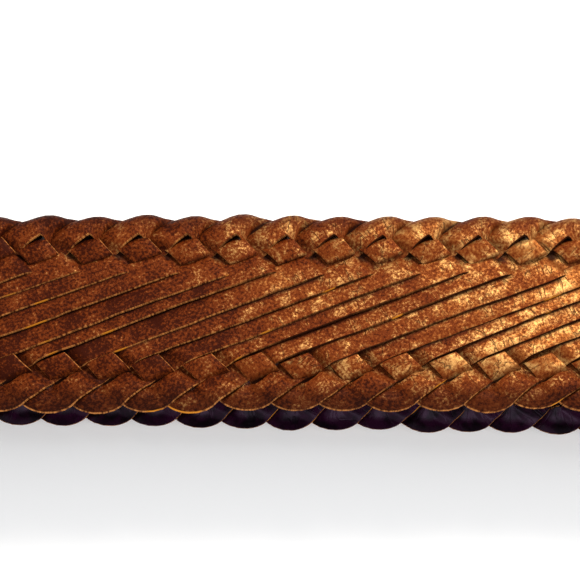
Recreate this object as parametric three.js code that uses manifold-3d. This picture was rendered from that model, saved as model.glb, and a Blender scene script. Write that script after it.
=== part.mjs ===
// A wide braided leather belt, fastened and laid flat: the upper run lies over the lower run, and the
// waist opening between them is a long flat hollow. Millimetres, +Z up. X runs along the belt, Y across it.
// The braid is one closed band of twelve woven strips. Plain leather tabs, a buckle and a keeper close the loop.
import * as THREE from "three";
import { mergeVertices } from "three/addons/utils/BufferGeometryUtils.js";
import Module from "manifold-3d";

// Clearance between neighbouring pieces.
const GAP = 0.3;

// The braid. A strip crosses the front on a long shallow leg and comes back behind on a short steep one.
const BRAID_WIDTH = 50;
const BRAID_THICKNESS = 4.6;
const LOBE_PITCH = 12.5;
const STRIPS = 12;
const FRONT_LEG_SHARE = 0.667;
const TURN_INSET = 1.9;

// The loop that the belt lies in: the height of the upper run over the lower one, and half a run's length.
const LOOP_HEIGHT = 46;
const RUN_HALF = 190;
const LOWER_RUN_SKEW_DEG = 1.35;

// The leather tabs at the ends of the braid.
const TAB_WIDTH = 48;
const PLY = 1.6;
const STRAP_THICKNESS = 3.4;
const SEAT_DEPTH = 14;
const SEAT_SLACK = 1;
const TAPER_LENGTH = 6;
const TIP_TAB_LEAD = 70;
const TIP_TAB_LENGTH = 116;
const TIP_ROUND = 22;
const HOLE_CLEARANCE = 1.2;
const HOLE_SPACING = 20;
const HOLE_EDGE = 5;
const HOLE_SIDES = 12;

// The buckle, one plain piece: a frame with its prong.
const BUCKLE_BAR = 3.4;
const BUCKLE_THICKNESS = 3.2;
const BUCKLE_REACH = 32;
const BUCKLE_SIDE_CLEARANCE = 1;
const BUCKLE_CORNER = 3;
const BUCKLE_INNER_CORNER = 1;
const BUCKLE_CHAMFER = 0.6;
const BUCKLE_SETBACK = 43;
const PRONG_WIDTH = 3.2;
const PRONG_THICKNESS = 2.2;
const PRONG_OVERHANG = 3;
const PRONG_LEAN = 3.8;
const PRONG_SLOT_CLEARANCE = 0.8;
const BUCKLE_TAB_LENGTH = 32;

// The keeper, a leather band round the tabs.
const KEEPER_WIDTH = 8;
const KEEPER_WALL = 1.6;

const COLOURS = {
  strips: { color: 0x7a3f20, roughness: 0.55, metalness: 0.25 },
  leather: { color: 0x4c2416, roughness: 0.6, metalness: 0 },
  metal: { color: 0x8a6a45, roughness: 0.35, metalness: 1 },
};

// Sizes that follow from the ones above.
const halfWidth = BRAID_WIDTH / 2;
const halfThickness = BRAID_THICKNESS / 2;
const legHeight = BRAID_WIDTH - 2 * TURN_INSET;
const cycle = STRIPS * LOBE_PITCH;
const frontRun = (FRONT_LEG_SHARE * cycle) / legHeight;
const backRun = ((1 - FRONT_LEG_SHARE) * cycle) / legHeight;
const seatHalf = halfThickness + GAP;
const tabHalf = seatHalf + PLY;
const barReach = Math.hypot(BUCKLE_BAR, BUCKLE_THICKNESS) / 2;
const foldInside = barReach + GAP;
const foldOutside = foldInside + PLY;
const strapHalf = STRAP_THICKNESS / 2;
const stackStep = strapHalf + GAP + Math.max(tabHalf, foldOutside);
const tipZ = halfThickness + LOOP_HEIGHT;
const buckleEndZ = tipZ - stackStep;
const leftRadius = LOOP_HEIGHT / 2;
const rightRadius = (LOOP_HEIGHT - stackStep) / 2;
const rightRunEnd = RUN_HALF + leftRadius - rightRadius;
const hingeX = rightRunEnd - BUCKLE_SETBACK;
const frontBarX = hingeX - BUCKLE_REACH;
const frontBarZ = tipZ + strapHalf + GAP + barReach;
const prongHoleX = hingeX - PRONG_LEAN;
const holeRadius = PRONG_WIDTH / 2 + HOLE_CLEARANCE;
const tipTabStart = hingeX - TIP_TAB_LEAD;
const tipTabEnd = tipTabStart + TIP_TAB_LENGTH;
const tipBraidEnd = tipTabStart + SEAT_DEPTH;
const tipSeatEnd = tipBraidEnd + SEAT_SLACK;
const strapStart = tipSeatEnd + TAPER_LENGTH;
const buckleTabEnd = hingeX + BUCKLE_TAB_LENGTH;
const buckleBraidEnd = buckleTabEnd - SEAT_DEPTH;
const buckleSeatStart = buckleBraidEnd - SEAT_SLACK;
const skew = Math.tan(THREE.MathUtils.degToRad(LOWER_RUN_SKEW_DEG));

// The surface of the braid, as rows that run along the belt. Each row has three points to a lobe pitch: the foot
// in the groove between two strips, the crest where the strip reaches its height, and the brow at its far edge.
// across is a share of the half width, and foot, crest and brow are heights as shares of the half thickness.
// leg names the leg that lies on top there, and drawIn is how far the foot is drawn in from the rim.
const OUTER_ROWS = [
  { across: -1.0, leg: "turn", foot: 0.1, crest: 0.5, brow: 0.4, drawIn: 0.08 },
  { across: -0.84, leg: "front", foot: 0.4, crest: 1.0, brow: 0.9, drawIn: 0 },
  { across: -0.73, leg: "front", foot: 0.3, crest: 0.8, brow: 0.9, drawIn: 0 },
  { across: -0.66, leg: "back", foot: 0.35, crest: 0.8, brow: 0.8, drawIn: 0 },
  { across: -0.57, leg: "back", foot: 0.4, crest: 0.8, brow: 0.8, drawIn: 0 },
  { across: -0.49, leg: "front", foot: 0.45, crest: 0.9, brow: 1.0, drawIn: 0 },
  { across: -0.3, leg: "front", foot: 0.55, crest: 1.0, brow: 1.0, drawIn: 0 },
  { across: -0.1, leg: "front", foot: 0.55, crest: 1.0, brow: 1.0, drawIn: 0 },
  { across: 0.1, leg: "front", foot: 0.55, crest: 1.0, brow: 1.0, drawIn: 0 },
  { across: 0.3, leg: "front", foot: 0.55, crest: 1.0, brow: 1.0, drawIn: 0 },
  { across: 0.49, leg: "front", foot: 0.45, crest: 0.9, brow: 1.0, drawIn: 0 },
  { across: 0.57, leg: "back", foot: 0.4, crest: 0.8, brow: 0.8, drawIn: 0 },
  { across: 0.66, leg: "back", foot: 0.35, crest: 0.8, brow: 0.8, drawIn: 0 },
  { across: 0.73, leg: "front", foot: 0.3, crest: 0.8, brow: 0.9, drawIn: 0 },
  { across: 0.84, leg: "front", foot: 0.4, crest: 1.0, brow: 0.9, drawIn: 0 },
  { across: 1.0, leg: "turn", foot: 0.1, crest: 0.5, brow: 0.4, drawIn: 0.08 },
];
const INNER_ROWS = [
  { across: 1.0, leg: "turn", foot: -0.15, crest: -0.5, brow: -0.5, drawIn: 0.08 },
  { across: 0.8, leg: "back", foot: -0.4, crest: -1.0, brow: -1.0, drawIn: 0 },
  { across: 0.62, leg: "front", foot: -0.4, crest: -0.8, brow: -0.8, drawIn: 0 },
  { across: 0.49, leg: "back", foot: -0.4, crest: -1.0, brow: -1.0, drawIn: 0 },
  { across: 0, leg: "back", foot: -0.4, crest: -1.0, brow: -1.0, drawIn: 0 },
  { across: -0.49, leg: "back", foot: -0.4, crest: -1.0, brow: -1.0, drawIn: 0 },
  { across: -0.62, leg: "front", foot: -0.4, crest: -0.8, brow: -0.8, drawIn: 0 },
  { across: -0.8, leg: "back", foot: -0.4, crest: -1.0, brow: -1.0, drawIn: 0 },
  { across: -1.0, leg: "turn", foot: -0.15, crest: -0.5, brow: -0.5, drawIn: 0.08 },
];

// Where the foot, crest and brow stand, as shares of the pitch from the middle of the strip on top.
const POINTS = ["foot", "crest", "brow"];
const FRONT_PHASES = { foot: -0.44, crest: -0.16, brow: 0.46 };
const BACK_PHASES = { foot: -0.5, crest: -0.34, brow: 0.34 };
const TURN_PHASES = { foot: -0.5, crest: -0.22, brow: 0.26 };
const LEGS = {
  front: { slope: frontRun, phases: FRONT_PHASES },
  back: { slope: -backRun, phases: BACK_PHASES },
  turn: { slope: frontRun, phases: TURN_PHASES },
};

const wasm = await Module();
wasm.setup();

function toSolid(geometry) {
  const bare = geometry.index ? geometry.toNonIndexed() : geometry.clone();
  bare.deleteAttribute("normal");
  bare.deleteAttribute("uv");
  const merged = mergeVertices(bare, 1e-4);
  return new wasm.Manifold(
    new wasm.Mesh({
      numProp: 3,
      vertProperties: merged.attributes.position.array,
      triVerts: new Uint32Array(merged.index.array),
    }),
  );
}

function toGeometry(solid) {
  const mesh = solid.getMesh();
  return new THREE.BufferGeometry()
    .setAttribute("position", new THREE.BufferAttribute(mesh.vertProperties, 3))
    .setIndex(new THREE.BufferAttribute(mesh.triVerts, 1));
}

// The middle line of the braid, from its end at the buckle, round both bends, to its end at the tip.
const STRETCHES = [
  { length: rightRunEnd - buckleBraidEnd, radius: Infinity },
  { length: Math.PI * rightRadius, radius: rightRadius },
  { length: rightRunEnd + RUN_HALF, radius: Infinity },
  { length: Math.PI * leftRadius, radius: leftRadius },
  { length: tipBraidEnd + RUN_HALF, radius: Infinity },
];
const braidLength = STRETCHES.reduce((sum, stretch) => sum + stretch.length, 0);

// The point of the middle line at a distance along it, and the way it heads there.
function middleLine(along) {
  let x = buckleBraidEnd;
  let z = buckleEndZ;
  let heading = 0;
  let left = along;
  for (const { length, radius } of STRETCHES) {
    const step = Math.min(left, length);
    left -= step;
    if (radius === Infinity) {
      x += step * Math.cos(heading);
      z += step * Math.sin(heading);
    } else {
      const turned = heading - step / radius;
      x += radius * (Math.sin(heading) - Math.sin(turned));
      z += radius * (Math.cos(turned) - Math.cos(heading));
      heading = turned;
    }
  }
  return { x, z, heading };
}

// The sideways place at a share of the way round a bend, from the upper run, which is straight, to the lower one,
// which comes in at the given place and slope.
function bendDrift(share, length, place, slope) {
  return place * share * share * (3 - 2 * share) + slope * length * share * share * (share - 1);
}

// The lower run lies a little askew under the upper one, and the two bends take up the difference.
function sideways(along) {
  const [buckleRun, rightBend, lowerRun, leftBend] = STRETCHES.map(({ length }) => length);
  const intoRightBend = along - buckleRun;
  const intoLowerRun = intoRightBend - rightBend;
  const intoLeftBend = intoLowerRun - lowerRun;
  if (intoRightBend <= 0 || intoLeftBend >= leftBend) return 0;
  if (intoLowerRun <= 0) return bendDrift(intoRightBend / rightBend, rightBend, -skew * rightRunEnd, skew);
  if (intoLeftBend <= 0) return skew * (intoLowerRun - rightRunEnd);
  return bendDrift(1 - intoLeftBend / leftBend, leftBend, skew * RUN_HALF, -skew);
}

// Bends a point of the flat braid round the loop. out is the height over the middle surface, outwards.
function bend(along, across, out) {
  const { x, z, heading } = middleLine(along);
  return [x - out * Math.sin(heading), across + sideways(along), z + out * Math.cos(heading)];
}

// One row of the braid's surface: its points in order, with a column number that rises along the belt.
function rowPoints(row, middle) {
  const { phases } = LEGS[row.leg];
  const first = Math.floor(-middle / LOBE_PITCH) - 1;
  const last = Math.ceil((braidLength - middle) / LOBE_PITCH) + 1;
  const points = [];
  for (let strip = first; strip <= last; strip++) {
    POINTS.forEach((name, place) => {
      const drawn = name === "foot" ? row.drawIn : 0;
      points.push({
        column: POINTS.length * strip + place,
        along: middle + (strip + phases[name]) * LOBE_PITCH,
        across: (row.across - Math.sign(row.across) * drawn) * halfWidth,
        out: row[name] * halfThickness,
      });
    });
  }
  return clipRow(points);
}

// Keeps the points between the braid's two ends, and adds one on each end. A point too near an end is left out.
function clipRow(points) {
  const at = (along, column) => {
    const next = points.findIndex((point) => point.along > along);
    const [a, b] = [points[next - 1], points[next]];
    const share = (along - a.along) / (b.along - a.along);
    const mix = (name) => a[name] + share * (b[name] - a[name]);
    return { column, along, across: mix("across"), out: mix("out") };
  };
  const inside = points.filter(({ along }) => along > GAP && along < braidLength - GAP);
  return [at(0, -Infinity), ...inside, at(braidLength, Infinity)];
}

// The rows in order round the band. Each row's strips are numbered so that a column follows its strip.
function bandRows() {
  const rows = [...OUTER_ROWS, ...INNER_ROWS];
  const clampAcross = (across) => THREE.MathUtils.clamp(across * halfWidth, -legHeight / 2, legHeight / 2);
  const follow = (row, from, middle) => {
    const { slope } = LEGS[row.leg];
    const place = clampAcross(row.across);
    const wanted = middle + slope * (place - from);
    const own = slope * place;
    return own + LOBE_PITCH * Math.round((wanted - own) / LOBE_PITCH);
  };
  let middle = LEGS.turn.slope * clampAcross(rows[0].across);
  let from = clampAcross(rows[0].across);
  const made = rows.map((row) => {
    middle = follow(row, from, middle);
    from = clampAcross(row.across);
    return { row, middle, points: rowPoints(row, middle) };
  });
  const back = follow(rows[0], from, middle);
  const turns = Math.round((back - made[0].middle) / LOBE_PITCH);
  return { made, columnShift: POINTS.length * turns };
}

// Fills the strip of surface between two rows with triangles.
function zip(a, b, shift, addTriangle) {
  const distance = (p, q) => (p.along - q.along) ** 2 + (p.across - q.across) ** 2 + (p.out - q.out) ** 2;
  let i = 0;
  let j = 0;
  while (i < a.length - 1 || j < b.length - 1) {
    const nextA = i < a.length - 1 ? a[i + 1].column : NaN;
    const nextB = j < b.length - 1 ? b[j + 1].column - shift : NaN;
    if (nextA === nextB) {
      if (distance(a[i], b[j + 1]) < distance(a[i + 1], b[j])) {
        addTriangle(a[i], a[i + 1], b[j + 1]);
        addTriangle(a[i], b[j + 1], b[j]);
      } else {
        addTriangle(a[i], a[i + 1], b[j]);
        addTriangle(a[i + 1], b[j + 1], b[j]);
      }
      i += 1;
      j += 1;
    } else if (nextA < nextB || Number.isNaN(nextB)) {
      addTriangle(a[i], a[i + 1], b[j]);
      i += 1;
    } else {
      addTriangle(a[i], b[j + 1], b[j]);
      j += 1;
    }
  }
}

function braidedBand() {
  const { made, columnShift } = bandRows();
  const positions = [];
  const addTriangle = (...corners) => {
    corners.forEach(({ along, across, out }) => positions.push(...bend(along, across, out)));
  };
  made.forEach(({ points }, number) => {
    const wraps = number === made.length - 1;
    zip(points, made[(number + 1) % made.length].points, wraps ? columnShift : 0, addTriangle);
  });
  const first = made.map(({ points }) => points[0]);
  const last = made.map(({ points }) => points[points.length - 1]);
  const outline = (ring) => ring.map(({ across, out }) => new THREE.Vector2(across, out));
  const fill = (ring) => THREE.ShapeUtils.triangulateShape(outline(ring), []);
  fill(first).forEach(([p, q, r]) => addTriangle(first[p], first[r], first[q]));
  fill(last).forEach(([p, q, r]) => addTriangle(last[p], last[q], last[r]));
  return new THREE.BufferGeometry().setAttribute("position", new THREE.Float32BufferAttribute(positions, 3));
}

const at = (x, z) => new THREE.Vector2(x, z);

// A solid whose outline in X and Z is given, of one width across the belt.
function acrossBelt(shape, width) {
  const geometry = new THREE.ExtrudeGeometry(shape, { depth: width, bevelEnabled: false, curveSegments: HOLE_SIDES });
  return geometry.translate(0, 0, -width / 2).rotateX(Math.PI / 2);
}

// The places of the holes in the strap: the prong's, and as many at the same spacing as fit on either side.
function holePlaces() {
  const margin = holeRadius + HOLE_EDGE;
  const before = Math.floor((prongHoleX - strapStart - holeRadius) / HOLE_SPACING);
  const after = Math.floor((tipTabEnd - margin - prongHoleX) / HOLE_SPACING);
  return Array.from({ length: before + after + 1 }, (_, number) => prongHoleX + (number - before) * HOLE_SPACING);
}

// The tip tab from above: square where it holds the braid, round at its tip, with its holes.
function tipTabPlan() {
  const half = TAB_WIDTH / 2;
  const roundStart = tipTabEnd - TIP_ROUND;
  const roundMiddle = tipTabEnd - TIP_ROUND / 2;
  const plan = new THREE.Shape();
  plan.moveTo(tipTabStart - GAP, -half);
  plan.lineTo(roundStart, -half);
  plan.bezierCurveTo(roundMiddle, -half, tipTabEnd, -half / 2, tipTabEnd, 0);
  plan.bezierCurveTo(tipTabEnd, half / 2, roundMiddle, half, roundStart, half);
  plan.lineTo(tipTabStart - GAP, half);
  plan.holes = holePlaces().map((x) => new THREE.Path().absarc(x, 0, holeRadius, 0, 2 * Math.PI, true));
  return plan;
}

// The tip tab: two plies that hold the end of the braid, then one strap with holes and a round tip.
function tipTab() {
  const side = new THREE.Shape([
    at(tipTabStart, tipZ + seatHalf),
    at(tipTabStart, tipZ + tabHalf),
    at(tipSeatEnd, tipZ + tabHalf),
    at(strapStart, tipZ + strapHalf),
    at(tipTabEnd + GAP, tipZ + strapHalf),
    at(tipTabEnd + GAP, tipZ - strapHalf),
    at(strapStart, tipZ - strapHalf),
    at(tipSeatEnd, tipZ - tabHalf),
    at(tipTabStart, tipZ - tabHalf),
    at(tipTabStart, tipZ - seatHalf),
    at(tipSeatEnd, tipZ - seatHalf),
    at(tipSeatEnd, tipZ + seatHalf),
  ]);
  const depth = 2 * (tabHalf + GAP);
  const plan = new THREE.ExtrudeGeometry(tipTabPlan(), { depth, bevelEnabled: false, curveSegments: HOLE_SIDES });
  plan.translate(0, 0, tipZ - depth / 2);
  return toGeometry(toSolid(acrossBelt(side, TAB_WIDTH + 2 * GAP)).intersect(toSolid(plan)));
}

// The buckle tab: leather folded round the hinge bar, slotted for the prong, that holds the braid's other end.
function buckleTab() {
  const outline = new THREE.Shape();
  outline.moveTo(buckleTabEnd, buckleEndZ + tabHalf);
  outline.lineTo(buckleSeatStart, buckleEndZ + tabHalf);
  outline.absarc(hingeX, buckleEndZ, foldOutside, Math.PI / 2, 1.5 * Math.PI, false);
  outline.lineTo(buckleSeatStart, buckleEndZ - tabHalf);
  outline.lineTo(buckleTabEnd, buckleEndZ - tabHalf);
  outline.lineTo(buckleTabEnd, buckleEndZ - seatHalf);
  outline.lineTo(buckleSeatStart, buckleEndZ - seatHalf);
  outline.lineTo(buckleSeatStart, buckleEndZ + seatHalf);
  outline.lineTo(buckleTabEnd, buckleEndZ + seatHalf);
  outline.holes.push(new THREE.Path().absarc(hingeX, buckleEndZ, foldInside, 0, 2 * Math.PI, true));
  const slotWidth = PRONG_WIDTH + 2 * PRONG_SLOT_CLEARANCE;
  const slotLength = 2 * foldOutside;
  const slotHeight = 2 * foldOutside;
  const slot = new THREE.BoxGeometry(slotLength, slotWidth, slotHeight);
  slot.translate(hingeX + foldInside - slotLength / 2, 0, buckleEndZ - foldInside / 2 + slotHeight / 2);
  return toGeometry(toSolid(acrossBelt(outline, TAB_WIDTH)).subtract(toSolid(slot)));
}

// The outline of a bar of one thickness that follows points in X and Z.
function barOutline(points, thickness) {
  const offsets = points.map((point, number) => {
    const before = points[Math.max(number - 1, 0)];
    const after = points[Math.min(number + 1, points.length - 1)];
    const way = after.clone().sub(before).normalize();
    return at(-way.y, way.x).multiplyScalar(thickness / 2);
  });
  const upper = points.map((point, number) => point.clone().add(offsets[number]));
  const lower = points.map((point, number) => point.clone().sub(offsets[number]));
  return new THREE.Shape([...lower, ...upper.reverse()]);
}

function roundedRectangle(path, halfX, halfY, corner) {
  path.absarc(halfX - corner, halfY - corner, corner, 0, Math.PI / 2, false);
  path.absarc(-halfX + corner, halfY - corner, corner, Math.PI / 2, Math.PI, false);
  path.absarc(-halfX + corner, -halfY + corner, corner, Math.PI, 1.5 * Math.PI, false);
  path.absarc(halfX - corner, -halfY + corner, corner, 1.5 * Math.PI, 2 * Math.PI, false);
  return path;
}

// The frame of the buckle. Its hinge bar lies under the strap, in the fold of the buckle tab, and its front bar
// lies on the strap, so the frame is tilted.
function buckleFrame() {
  const rise = frontBarZ - buckleEndZ;
  const halfX = (Math.hypot(BUCKLE_REACH, rise) + BUCKLE_BAR) / 2;
  const halfY = TAB_WIDTH / 2 + BUCKLE_SIDE_CLEARANCE + BUCKLE_BAR;
  const ring = roundedRectangle(new THREE.Shape(), halfX, halfY, BUCKLE_CORNER);
  ring.holes.push(roundedRectangle(new THREE.Path(), halfX - BUCKLE_BAR, halfY - BUCKLE_BAR, BUCKLE_INNER_CORNER));
  const frame = new THREE.ExtrudeGeometry(ring, {
    depth: BUCKLE_THICKNESS - 2 * BUCKLE_CHAMFER,
    bevelThickness: BUCKLE_CHAMFER,
    bevelSize: BUCKLE_CHAMFER,
    bevelOffset: -BUCKLE_CHAMFER,
    bevelSegments: 1,
    curveSegments: 3,
  });
  frame.translate(0, 0, BUCKLE_CHAMFER - BUCKLE_THICKNESS / 2);
  frame.rotateY(Math.atan2(rise, BUCKLE_REACH));
  return frame.translate((hingeX + frontBarX) / 2, 0, (frontBarZ + buckleEndZ) / 2);
}

// The prong rises from the hinge bar through the strap's hole, and lies over the front bar.
function prong() {
  const half = PRONG_THICKNESS / 2;
  const overStrap = tipZ + strapHalf + GAP + PRONG_THICKNESS;
  const overBar = frontBarZ + barReach + GAP + half;
  const route = [
    at(hingeX, buckleEndZ),
    at(prongHoleX + half / 2, tipZ - strapHalf),
    at(prongHoleX - half / 2, tipZ + strapHalf),
    at(prongHoleX - PRONG_THICKNESS, overStrap),
    at(frontBarX, overBar),
    at(frontBarX - PRONG_OVERHANG, overBar),
  ];
  return acrossBelt(barOutline(route, PRONG_THICKNESS), PRONG_WIDTH);
}

function buckle() {
  return toGeometry(toSolid(buckleFrame()).add(toSolid(prong())));
}

// The keeper goes round the buckle tab and the strap over it, close to the end of the braid.
function keeper() {
  const top = tipZ + strapHalf + GAP;
  const bottom = buckleEndZ - Math.max(tabHalf, foldOutside) - GAP;
  const middle = (top + bottom) / 2;
  const insideY = TAB_WIDTH / 2 + GAP;
  const insideZ = (top - bottom) / 2;
  const rectangle = (y, z) => [at(-z, -y), at(z, -y), at(z, y), at(-z, y)];
  const band = new THREE.Shape(rectangle(insideY + KEEPER_WALL, insideZ + KEEPER_WALL));
  band.holes.push(new THREE.Path(rectangle(insideY, insideZ)));
  const geometry = new THREE.ExtrudeGeometry(band, { depth: KEEPER_WIDTH, bevelEnabled: false });
  return geometry.rotateY(Math.PI / 2).translate(buckleSeatStart - KEEPER_WIDTH, 0, middle);
}

function piece(name, geometry, look) {
  const mesh = new THREE.Mesh(geometry, new THREE.MeshStandardMaterial(look));
  mesh.name = name;
  return mesh;
}

const belt = new THREE.Group();
belt.name = "braided_belt";
belt.add(
  piece("braided_band", braidedBand(), COLOURS.strips),
  piece("tip_tab", tipTab(), COLOURS.leather),
  piece("buckle_tab", buckleTab(), COLOURS.leather),
  piece("buckle", buckle(), COLOURS.metal),
  piece("keeper", keeper(), COLOURS.leather),
);

export default belt;
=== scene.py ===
import math

import bmesh
import bpy
import numpy as np
from mathutils import Matrix, Vector


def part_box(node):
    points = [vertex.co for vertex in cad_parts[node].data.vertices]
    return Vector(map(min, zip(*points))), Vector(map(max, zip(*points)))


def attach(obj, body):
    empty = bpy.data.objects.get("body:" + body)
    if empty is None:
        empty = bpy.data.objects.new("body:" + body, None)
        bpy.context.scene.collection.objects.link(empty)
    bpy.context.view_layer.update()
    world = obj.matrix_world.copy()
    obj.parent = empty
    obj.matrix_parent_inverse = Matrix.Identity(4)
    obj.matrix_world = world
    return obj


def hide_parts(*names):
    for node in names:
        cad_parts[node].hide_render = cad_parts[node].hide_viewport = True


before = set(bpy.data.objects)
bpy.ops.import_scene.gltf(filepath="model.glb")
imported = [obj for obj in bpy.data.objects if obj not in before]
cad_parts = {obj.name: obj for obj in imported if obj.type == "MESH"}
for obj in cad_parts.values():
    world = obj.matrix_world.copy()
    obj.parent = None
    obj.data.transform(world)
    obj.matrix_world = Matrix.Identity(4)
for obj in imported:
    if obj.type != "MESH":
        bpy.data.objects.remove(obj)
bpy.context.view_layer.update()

# Lengths below are in millimetres and become metres where a mesh is made.
MM = 0.001
SEED = 12

# The braid and its strips of leather.
BRAID_THICKNESS = 4.6
LOBE_PITCH = 12.5
STRIPS = 12
LONG_LEG_MIDDLE_DEG = 21.0
LONG_LEG_END_DEG = 36.0
SHORT_LEG_DEG = 45.6
BEND_LENGTH = 6.0
TURN_RADIUS = 6.8
TURN_PEAK = 22.75
STRIP_WIDTH = 6.2
STRIP_THICKNESS = 1.3
STRIP_OVERHANG = 0.6  # how far a strip's back may stand below the braid
UNDER_LEVEL = -0.6  # a station lower than this passes under another strip
RING_STEPS = {"float": 2.0, "side": 1.0, "short leg": 0.5}
END_CUT = 2.6
# Strips are painted in shade where they dip under others, and in a band this wide along the strip that laps
# them, for the shade in the crevices.
PAINTED_SHADE_WIDTH = 1.1
EDGE_PAINTED_SHADE = 0.52  # how dark the braid's outer edges are painted: a painted shade for the rounded lobes, which curve away from the light
EDGE_PAINTED_SHADE_REACH = (18.0, 24.5)

# The loop that the belt lies in.
GAP = 0.3
LOOP_HEIGHT = 46.0
LOOP_HALF = 213.0
LOWER_RUN_SKEW_DEG = 1.35

# The tabs, and the keeper that goes round them.
PLY = 1.6
PLY_ROUNDING = 0.4
PLY_SLACK = 0.03
STRAP_THICKNESS = 3.4
TAB_WIDTH = 48.0
SEAT_DEPTH = 14.0
SEAT_SLACK = 1.0
SEAT_MARGIN = 2.0
TAPER_LENGTH = 6.0
TIP_TAB_LEAD = 70.0
TIP_TAB_LENGTH = 116.0
TIP_ROUND = 22.0
HOLE_RADIUS = 2.8
HOLE_SPACING = 20.0
HOLES_BEFORE_PRONG = 2
HOLES_AFTER_PRONG = 2
BUCKLE_SETBACK = 43.0
BUCKLE_TAB_LENGTH = 32.0
PRONG_SLOT = 4.8
KEEPER_CORNER = 2.2
STITCH_PITCH = 3.2
STITCH_LENGTH = 2.3
STITCH_INSET = 2.6
THREAD_RADIUS = 0.32

# The buckle.
BUCKLE_BAR = 3.4
BUCKLE_THICKNESS = 3.2
BUCKLE_REACH = 32.0
BUCKLE_CORNER = 2.0
PRONG_WIDTH = 3.2
PRONG_THICKNESS = 2.2
PRONG_OVERHANG = 3.0
PRONG_LEAN = 3.8
PRONG_EYE_RADIUS = 2.1
PRONG_EYE_THICKNESS = 1.1
PRONG_TIP_SHARE = 0.35

# The foil on the braid is worn in stretches of this length, in metres.
WEAR_LENGTH = 0.3

# The photograph's view: how wide it is at the upper run, and where it is aimed.
VIEW_WIDTH = 148.7
VIEW_AZIMUTH_DEG = 17.0
VIEW_ELEVATION_DEG = 79.4
VIEW_DISTANCE = 470.0
VIEW_AIM_X = -8.9
VIEW_AIM_Y = 4.4
SENSOR = 36.0

half_thickness = BRAID_THICKNESS / 2
cycle = STRIPS * LOBE_PITCH
seat_half = half_thickness + GAP
tab_half = seat_half + PLY
bar_reach = math.hypot(BUCKLE_BAR, BUCKLE_THICKNESS) / 2
fold_inside = bar_reach + GAP
fold_outside = fold_inside + PLY
stack_step = STRAP_THICKNESS / 2 + GAP + fold_outside
tip_z = half_thickness + LOOP_HEIGHT
buckle_end_z = tip_z - stack_step
left_radius = LOOP_HEIGHT / 2
right_radius = (LOOP_HEIGHT - stack_step) / 2
left_run_end = LOOP_HALF - left_radius
right_run_end = LOOP_HALF - right_radius
hinge_x = right_run_end - BUCKLE_SETBACK
front_bar_x = hinge_x - BUCKLE_REACH
front_bar_z = tip_z + STRAP_THICKNESS / 2 + GAP + bar_reach
prong_hole_x = hinge_x - PRONG_LEAN
tip_tab_start = hinge_x - TIP_TAB_LEAD
tip_tab_end = tip_tab_start + TIP_TAB_LENGTH
tip_braid_end = tip_tab_start + SEAT_DEPTH
tip_seat_end = tip_braid_end + SEAT_SLACK
strap_start = tip_seat_end + TAPER_LENGTH
buckle_tab_end = hinge_x + BUCKLE_TAB_LENGTH
buckle_braid_end = buckle_tab_end - SEAT_DEPTH
buckle_seat_start = buckle_braid_end - SEAT_SLACK
skew = math.tan(math.radians(LOWER_RUN_SKEW_DEG))

STRETCHES = [
    {"length": right_run_end - buckle_braid_end, "radius": None},
    {"length": math.pi * right_radius, "radius": right_radius},
    {"length": right_run_end + left_run_end, "radius": None},
    {"length": math.pi * left_radius, "radius": left_radius},
    {"length": tip_braid_end + left_run_end, "radius": None},
]
braid_length = sum(stretch["length"] for stretch in STRETCHES)


def middle_line(along):
    """The x, z and heading of the braid's middle line at distances along it."""
    x = np.full_like(along, buckle_braid_end)
    z = np.full_like(along, buckle_end_z)
    heading = np.zeros_like(along)
    left = along.copy()
    for stretch in STRETCHES:
        step = np.clip(left, 0, stretch["length"])
        left = left - step
        if stretch["radius"] is None:
            x = x + step * np.cos(heading)
            z = z + step * np.sin(heading)
        else:
            radius = stretch["radius"]
            turned = heading - step / radius
            x = x + radius * (np.sin(heading) - np.sin(turned))
            z = z + radius * (np.cos(turned) - np.cos(heading))
            heading = turned
    return x, z, heading


def smooth(share):
    """Eases from 0 to 1 as a share does."""
    share = np.clip(share, 0, 1)
    return share * share * (3 - 2 * share)


def bend_drift(share, length, place, slope):
    """The sideways place at shares of the way round a bend, from the upper run to the lower one."""
    return place * share**2 * (3 - 2 * share) + slope * length * share**2 * (share - 1)


def sideways(along):
    """How far the braid lies to the side: the lower run is askew, and the bends take up the difference."""
    buckle_run, right_bend, lower_run, left_bend, _ = (stretch["length"] for stretch in STRETCHES)
    into_right_bend = along - buckle_run
    into_lower_run = into_right_bend - right_bend
    into_left_bend = into_lower_run - lower_run
    right = bend_drift(into_right_bend / right_bend, right_bend, -skew * right_run_end, skew)
    left = bend_drift(1 - into_left_bend / left_bend, left_bend, skew * left_run_end, -skew)
    return np.select(
        [into_right_bend <= 0, into_lower_run <= 0, into_left_bend <= 0, into_left_bend < left_bend],
        [0 * along, right, skew * (into_lower_run - right_run_end), left],
        0,
    )


def bend(along, across, out):
    """Bends places on the flat braid round the loop, in millimetres. out is the height outwards."""
    x, z, heading = middle_line(along)
    y = across + sideways(along)
    return np.stack([x - out * np.sin(heading), y, z + out * np.cos(heading)], axis=-1)


def view_from_photo():
    """The photograph's camera: above the upper run, a little from the front, with the run level in view."""
    camera = bpy.data.cameras.new("camera")
    camera.sensor_width = SENSOR
    camera.lens = SENSOR * VIEW_DISTANCE / VIEW_WIDTH
    camera.clip_start = 0.01
    holder = bpy.data.objects.new("camera", camera)
    bpy.context.scene.collection.objects.link(holder)
    elevation = math.radians(VIEW_ELEVATION_DEG)
    azimuth = math.radians(VIEW_AZIMUTH_DEG)
    flat = math.cos(elevation)
    back = Vector((-math.sin(azimuth) * flat, -math.cos(azimuth) * flat, math.sin(elevation)))
    aim = Vector((VIEW_AIM_X, VIEW_AIM_Y, tip_z + half_thickness))
    holder.location = (aim + back * VIEW_DISTANCE) * MM
    holder.rotation_mode = "QUATERNION"
    right = Vector((1, 0, 0))
    up = back.cross(right).normalized()
    holder.rotation_quaternion = Matrix((up.cross(back), up, back)).transposed().to_quaternion()
    bpy.context.scene.camera = holder


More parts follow.
